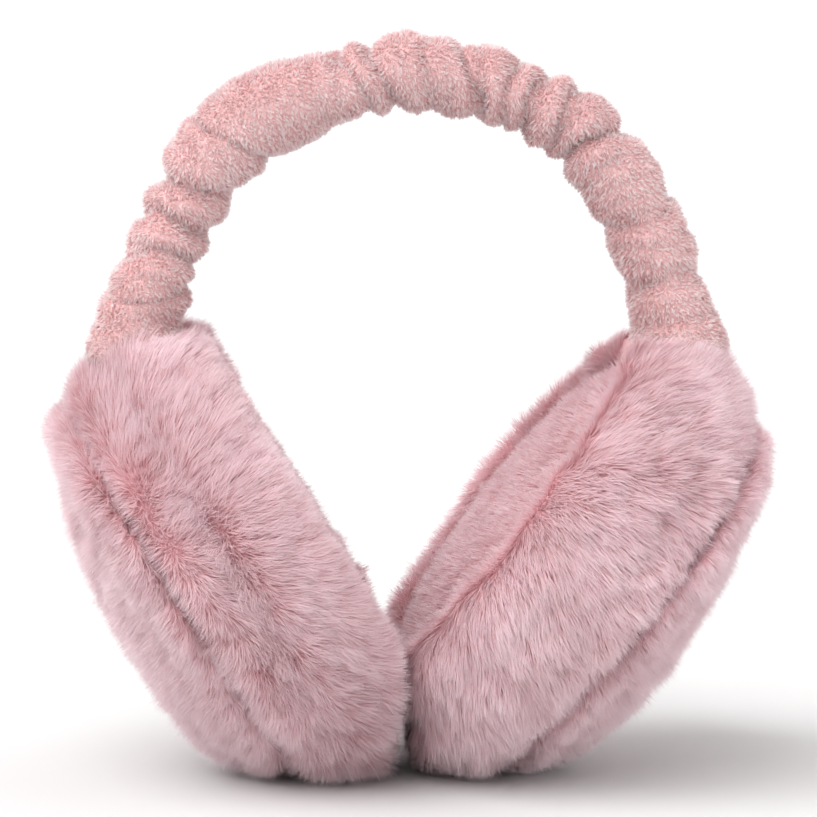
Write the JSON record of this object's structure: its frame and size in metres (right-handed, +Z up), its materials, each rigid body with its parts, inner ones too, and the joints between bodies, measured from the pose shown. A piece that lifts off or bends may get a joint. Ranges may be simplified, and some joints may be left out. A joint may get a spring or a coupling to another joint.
{
  "type": "fur earmuffs",
  "caption": "Round, stuffed faux fur ear pads joined by an arched headband in gathered plush, worn over the head to keep the ears warm.",
  "frame": {"origin": "on the surface that the pads stand on, under the middle of the whole", "axes": "+Z up from the pads to the headband's crown; -Y is the front; +X is to the viewer's right, from one pad to the other"},
  "size_m": [0.1822, 0.1334, 0.1858],
  "materials": {
    "sleeve": "short-pile plush, matte with a soft sheen",
    "outer_fur": "long faux fur, matte with pale tips",
    "inner_fur": "long faux fur, matte with pale tips",
    "ear_lining": "short plush, matte"
  },
  "bodies": {
    "root": {"band_sleeve": "sleeve", "left_outer_fur": "outer_fur", "left_inner_fur": "inner_fur", "left_ear_lining": "ear_lining", "right_outer_fur": "outer_fur", "right_inner_fur": "inner_fur", "right_ear_lining": "ear_lining"}
  },
  "joints": []
}
